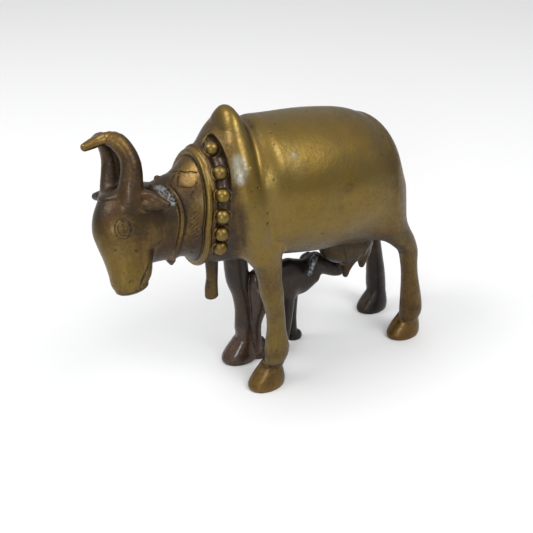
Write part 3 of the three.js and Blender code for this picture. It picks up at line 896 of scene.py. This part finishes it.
# Only creases and the lower far side, which holds painted shade, turn all black. Raised places and edges are
# rubbed, and the near hooves are painted lighter, standing in for the light that they catch.
blackest = 0.8 + 0.2 * np.maximum(smooth(crease, 0.1, 0.5), smooth(y, 0, 10) * (z < 90))
patina_and_painted_light = np.clip(patina_and_painted_light, 0, blackest) * (1 - 0.8 * raised) * (1 - 0.55 * near_hooves)
patina_and_painted_light = np.clip(patina_and_painted_light - 0.5 * smooth(edge, 0.06, 0.4), 0, 1)
# The calf is nearly black all over.
patina_and_painted_light += (1 - patina_and_painted_light) * 0.9 * calf_share

# Reddish brown lacquer lies in the near channel, on the far front leg and its hoof, at the near ear and
# on the calf's rump.
lacquer = summed(
    0,
    (0.7, on(channel, 0.4) * (1 - bead_share) * (y < 0)),
    (0.9, spot((-6, 14, 8), 13, 0.3) * (y > 5)),
    (0.3, (x < 20) * (y > 5) * (1 - smooth(z, 50, 70))),
    (0.4, spot((-66.8, -13, 138), 4, 0.9)),
    (0.2, calf_share * (1 - smooth(x, 20, 36))),
)

# The brass is more coppery on the near hooves and the near hind leg, on the jaw and the top of the
# head, along the flank and on the neck.
flank = limb(WORLD, [(34, -30, 84, 2), (50, -29, 84, 3), (62, -27, 88, 3)])
copper = summed(
    0,
    (0.6, near_hooves),
    (0.3, near_legs * (x > 60)),
    (0.5, head_share * smooth(-forward, -13, -6) * smooth(down, 14, 22) * (1 - smooth(down, 30, 38))),
    (0.45, head_share * (1 - smooth(down, 2, 10))),
    (0.5, on(flank, 8)),
    (0.35, (1 - smooth(x, -32, -26)) * (1 - head_share) * (1 - raised)),
)

# A painted bluish glint behind the near ear, a painted reflection, and a pale streak on the calf's near ear.
painted_ear_glint = limb(WORLD, [(-54.6, -4.5, 132, 1), (-52.6, -8.4, 130, 1.3), (-50.8, -12, 126.8, 0.8)])
calf_ear_streak = limb(WORLD, [(41.5, 3.2, 61.5, 1), (38.5, 2, 58, 1), (37, 2.4, 53, 0.8)])
glint_and_pale_streak = on(painted_ear_glint, 1.4) + on(calf_ear_streak, 1)

# A greyish streak on the shoulder is a painted reflection, and one of the stains is greyish too.
painted_reflection_streak = limb(WORLD, [
    (-20.5, -19.6, 143, 1.2),
    (-20.9, -21.6, 139.4, 1.8),
    (-21.6, -23.3, 135.4, 0.8),
])
reflection_and_stain = 0.8 * on(painted_reflection_streak, 3) + 0.3 * spot((6.8, -24.6, 141.9), 1.2, 1.0)

# The vertices go into the part's frame, in metres, and stay within the box of the solid.
placed = np.clip((points - ORIGIN) / 1000, np.array(cad_low), np.array(cad_high))
mesh.vertices.foreach_set("co", placed.astype(np.float32).ravel())
mesh.update()
mesh.shade_smooth()
mesh.normals_split_custom_set_from_vertices(normals.tolist())
for name, values in (
    ("patina_and_painted_light", patina_and_painted_light),
    ("lacquer", lacquer),
    ("copper", copper),
    ("glint_and_pale_streak", glint_and_pale_streak),
    ("reflection_and_stain", reflection_and_stain),
):
    shares = np.clip(values, 0, 1).astype(np.float32)
    mesh.attributes.new(name, "FLOAT", "POINT").data.foreach_set("value", shares)


class Nodes:
    """A material, whose nodes are made and linked as they are asked for."""

    def __init__(self, name):
        self.material = bpy.data.materials.new(name)
        self.material.use_nodes = True
        self.shader = self.material.node_tree.nodes["Principled BSDF"]

    def put(self, value, socket):
        """Sets a socket to a value, or links it to the output of another node."""
        if isinstance(value, bpy.types.NodeSocket):
            self.material.node_tree.links.new(value, socket)
        else:
            socket.default_value = value

    def node(self, kind, *values):
        """A new node, with the values put into its first sockets."""
        made = self.material.node_tree.nodes.new("ShaderNode" + kind)
        for socket, value in zip(made.inputs, values):
            self.put(value, socket)
        return made

    def shade(self, **values):
        """Sets inputs of the shader, named with underscores for spaces."""
        for name, value in values.items():
            self.put(value, self.shader.inputs[name.replace("_", " ")])

    def maths(self, kind, a, b=0.0, clamp=False):
        node = self.node("Math", a, b)
        node.operation = kind
        node.use_clamp = clamp
        return node.outputs[0]

    def times(self, a, b):
        return self.maths("MULTIPLY", a, b)

    def total(self, first, *others):
        for other in others:
            first = self.maths("ADD", first, other)
        return first

    def rest(self, share):
        """What a share leaves of 1."""
        return self.maths("SUBTRACT", 1.0, share)

    def swing(self, pattern, amount):
        """A pattern from 0 to 1, as a change by up to half the amount either way."""
        return self.times(self.total(pattern, -0.5), amount)

    def mapped(self, value, from_low, from_high, to_low, to_high):
        return self.node("MapRange", value, from_low, from_high, to_low, to_high).outputs[0]

    def attribute(self, name):
        node = self.node("Attribute")
        node.attribute_name = name
        return node.outputs["Fac"]

    def place(self):
        """The place of a point on the piece, in metres."""
        return self.node("TexCoord").outputs["Object"]

    def noise(self, scale, detail, stretch=(1, 1, 1), turn=(0, 0, 0)):
        """Noise whose waves are about 1000 / scale millimetres long, stretched and turned."""
        at = self.node("Mapping", self.place())
        at.inputs["Scale"].default_value = stretch
        at.inputs["Rotation"].default_value = [math.radians(a) for a in turn]
        node = self.node("TexNoise", at.outputs[0])
        node.inputs["Scale"].default_value = scale
        node.inputs["Detail"].default_value = detail
        node.inputs["Roughness"].default_value = 0.55
        return node.outputs[0]

    def dots(self, scale, size, share):
        """1 in small round dots, in the given share of the cells of a grid with random centres."""
        node = self.node("TexVoronoi", self.place())
        node.inputs["Scale"].default_value = scale
        pick = self.node("SeparateColor", node.outputs["Color"])
        chosen = self.maths("LESS_THAN", pick.outputs[0], share)
        return self.times(self.mapped(node.outputs["Distance"], size, 0.5 * size, 0.0, 1.0), chosen)

    def mix(self, share, a, b):
        """Colour b over colour a, by a share."""
        node = self.node("Mix", share)
        node.data_type = "RGBA"
        for socket, value in zip([s for s in node.inputs if s.type == "RGBA"], (a, b)):
            self.put(value, socket)
        return next(s for s in node.outputs if s.type == "RGBA")

    def ramp(self, value, stops):
        """A colour for each value, from stops of a value and a colour."""
        node = self.node("ValToRGB", value)
        marks = node.color_ramp.elements
        while len(marks) < len(stops):
            marks.new(0.5)
        for mark, (at, colour) in zip(marks, stops):
            mark.position = at
            mark.color = (*colour, 1)
        return node.outputs[0]

    def bumps(self, layers):
        """The normal that layers of a height pattern and its depth in metres give, one on the other."""
        normal = None
        for pattern, depth in layers:
            node = self.node("Bump")
            self.put(pattern, node.inputs["Height"])
            self.put(depth, node.inputs["Distance"])
            if normal:
                self.put(normal, node.inputs["Normal"])
            normal = node.outputs[0]
        return normal


def grey(*stops):
    return [(at, (value, value, value)) for at, value in stops]


class Brass(Nodes):
    """Old brass: polished where the share of darkness is 0, near black and glossy where it is 1. That share
    is tarnish with painted shade and painted highlights in it.
    """

    POLISHED_TO_BLACK = (
        (0.0, (0.185, 0.121, 0.026)),
        (0.3, (0.122, 0.079, 0.023)),
        (0.6, (0.06, 0.037, 0.016)),
        (1.0, (0.015, 0.0125, 0.0115)),
    )
    COPPERY_TO_BLACK = (
        (0.0, (0.2, 0.105, 0.033)),
        (0.5, (0.1, 0.053, 0.019)),
        (1.0, (0.022, 0.015, 0.011)),
    )
    OLIVE = (0.13, 0.107, 0.05, 1)
    BROWN = (0.075, 0.038, 0.019, 1)
    LACQUER = (0.05, 0.021, 0.008, 1)
    # A grey for the painted reflection and the greyish stain.
    REFLECTION_AND_STAIN_GREY = (0.27, 0.26, 0.21, 1)
    # A bluish grey for the painted glint behind the near ear and the pale streak on the calf's ear.
    GLINT_AND_STREAK_GREY = (0.24, 0.26, 0.29, 1)
    METALLIC = grey((0.0, 1.0), (0.5, 0.97), (0.8, 0.85), (1.0, 0.5))
    ROUGHNESS = grey((0.0, 0.4), (0.3, 0.42), (0.65, 0.42), (1.0, 0.36))

    def __init__(self):
        super().__init__("aged_brass")
        self.clouds = self.noise(38, 2.0)
        self.blotches = self.noise(150, 3.0)
        self.mottle = self.noise(620, 3.0)
        self.grain = self.noise(2600, 2.0)
        self.streaks = self.noise(900, 3.0, (1, 1, 0.1), (0, 14, 0))
        self.scratches = self.maths("GREATER_THAN", self.noise(2300, 1.0, (0.05, 1, 1), (10, 38, 25)), 0.7)
        self.pits = self.dots(170, 0.16, 0.3)
        self.specks = self.dots(480, 0.22, 0.16)
        self.aged_and_painted_light = self.age_and_painted_light()
        self.lacquer = self.times(self.attribute("lacquer"), self.mapped(self.mottle, 0.35, 0.6, 0.35, 1.0))
        self.glint_and_pale_streak = self.times(self.attribute("glint_and_pale_streak"), self.mapped(self.mottle, 0.4, 0.62, 0.0, 0.9))
        gloss = self.mapped(self.aged_and_painted_light, 0.1, 0.4, 0.14, 0.06)
        self.shade(
            Base_Color=self.colour(),
            Metallic=self.metallic(),
            Roughness=self.roughness(),
            Specular_IOR_Level=0.35,
            Coat_Weight=self.total(gloss, self.times(self.lacquer, 0.6)),
            Coat_Roughness=self.mapped(self.mottle, 0.35, 0.65, 0.06, 0.2),
            Normal=self.skin(),
        )

    def age_and_painted_light(self):
        """The share of darkness, tarnish with painted shade and painted highlights in it, made uneven, with
        pits, specks and scratches.
        """
        patina_and_painted_light = self.attribute("patina_and_painted_light")
        uneven = self.total(
            self.swing(self.clouds, 0.42),
            self.swing(self.blotches, 0.4),
            self.swing(self.mottle, 0.5),
            self.swing(self.streaks, 0.26),
        )
        aged_and_painted_light = self.total(
            patina_and_painted_light,
            self.times(uneven, self.mapped(patina_and_painted_light, 0.0, 0.5, 0.5, 1.0)),
            self.times(self.pits, 0.3),
            self.times(self.specks, 0.22),
        )
        return self.maths("ADD", aged_and_painted_light, self.times(self.scratches, -0.12), True)

    def colour(self):
        """The colour by darkness, with olive, brown and coppery places, lacquer, a painted reflection with a
        stain, and painted glints with a pale streak.
        """
        olive = self.mapped(self.noise(55, 2.0, turn=(30, 0, 60)), 0.42, 0.7, 0.0, 0.35)
        brown = self.mapped(self.noise(90, 3.0, turn=(0, 50, 10)), 0.5, 0.72, 0.0, 0.5)
        copper = self.times(self.attribute("copper"), self.mapped(self.blotches, 0.3, 0.6, 0.35, 1.0))
        reflection_and_stain = self.times(self.attribute("reflection_and_stain"), self.mapped(self.streaks, 0.3, 0.6, 0.5, 1.0))
        colour = self.ramp(self.aged_and_painted_light, self.POLISHED_TO_BLACK)
        for share, over in (
            (self.times(olive, self.rest(self.aged_and_painted_light)), self.OLIVE),
            (self.times(brown, self.mapped(self.aged_and_painted_light, 0.05, 0.4, 0.2, 1.0)), self.BROWN),
            (copper, self.ramp(self.aged_and_painted_light, self.COPPERY_TO_BLACK)),
            (self.lacquer, self.LACQUER),
            # Next come the painted reflection, and then the painted glints with the pale streak.
            (reflection_and_stain, self.REFLECTION_AND_STAIN_GREY),
            (self.glint_and_pale_streak, self.GLINT_AND_STREAK_GREY),
        ):
            colour = self.mix(share, colour, over)
        return colour

    def metallic(self):
        """Less metallic where darker, and under lacquer, the painted glints and the pale streak."""
        bare = self.times(self.ramp(self.aged_and_painted_light, self.METALLIC), self.rest(self.glint_and_pale_streak))
        return self.times(bare, self.mapped(self.lacquer, 0.0, 1.0, 1.0, 0.6))

    def roughness(self):
        return self.total(
            self.ramp(self.aged_and_painted_light, self.ROUGHNESS),
            self.swing(self.mottle, 0.22),
            self.swing(self.streaks, 0.16),
            self.times(self.glint_and_pale_streak, 0.3),
        )

    def skin(self):
        """The small unevenness of the casting, rougher where the brass is darker."""
        return self.bumps((
            (self.noise(60, 1.0), 0.00055),
            (self.noise(170, 2.0), 0.00016),
            (self.mottle, 0.00005),
            (self.grain, 0.00002),
            (self.times(self.mottle, self.aged_and_painted_light), 0.00014),
            (self.times(self.grain, self.aged_and_painted_light), 0.00007),
            (self.streaks, 0.000016),
            (self.scratches, 0.000006),
            (self.times(self.pits, -1.0), 0.00012),
        ))


mesh.materials.clear()
mesh.materials.append(Brass().material)
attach(piece, "root")
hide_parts("cow_and_calf")


def pale_floor():
    """A wide floor under the hooves."""
    corners = [(a * FLOOR_REACH, b * FLOOR_REACH, 0) for a, b in ((-1, -1), (1, -1), (1, 1), (-1, 1))]
    sheet = bpy.data.meshes.new("floor")
    sheet.from_pydata(corners, [], [(0, 1, 2, 3)])
    paint = Nodes("pale_floor")
    paint.shade(Base_Color=(FLOOR_SHADE, FLOOR_SHADE, FLOOR_SHADE, 1), Roughness=0.9)
    sheet.materials.append(paint.material)
    return added("floor", sheet)


def room():
    """White light from all round, dimmer towards the horizon."""
    made = bpy.data.worlds.new("room")
    made.use_nodes = True
    nodes, links = made.node_tree.nodes, made.node_tree.links
    sky = nodes["Background"]
    sky.inputs["Color"].default_value = (1, 1, 1, 1)
    towards = nodes.new("ShaderNodeTexCoord")
    height = nodes.new("ShaderNodeSeparateXYZ")
    strength = nodes.new("ShaderNodeMapRange")
    strength.inputs["To Min"].default_value = HORIZON_LIGHT
    strength.inputs["To Max"].default_value = ZENITH_LIGHT
    links.new(towards.outputs["Generated"], height.inputs[0])
    links.new(height.outputs["Z"], strength.inputs["Value"])
    links.new(strength.outputs[0], sky.inputs["Strength"])
    return made


def lamp(name, direction, size, radiance, colour=(1, 1, 1)):
    """A soft light in a direction from the middle of the figure, facing it."""
    data = bpy.data.lights.new(name, "AREA")
    data.shape = "RECTANGLE"
    data.size, data.size_y = size
    data.energy = radiance * math.pi * size[0] * size[1]
    data.color = colour
    made = added(name, data)
    way = Vector(direction).normalized()
    made.location = Vector(FIGURE_MIDDLE) + way * LAMP_DISTANCE
    made.rotation_mode = "QUATERNION"
    made.rotation_quaternion = way.to_track_quat("Z", "Y")


floor = pale_floor()
lamp("key", (0.21, -0.57, 0.8), (0.5, 0.75), 7.2)
lamp("front", (-0.62, 0.13, 0.75), (0.65, 0.6), 7.2)
lamp("window", (-0.64, -0.67, 0.3), (0.22, 0.4), 16, (0.88, 0.94, 1.0))
bpy.context.scene.world = room()
bpy.context.scene.view_settings.view_transform = "Standard"

camera_data = bpy.data.cameras.new("camera")
camera_data.sensor_width = SENSOR_WIDTH
camera_data.lens = FOCAL_PIXELS / PHOTO_PIXELS * SENSOR_WIDTH
camera_data.clip_start = 0.01
camera = added("camera", camera_data)
stand = (CAMERA_PLACE - ORIGIN) / 1000
camera.matrix_world = Matrix(axes(CAMERA_RIGHT, CAMERA_UP, -CAMERA_LOOK, stand).tolist())
bpy.context.scene.camera = camera
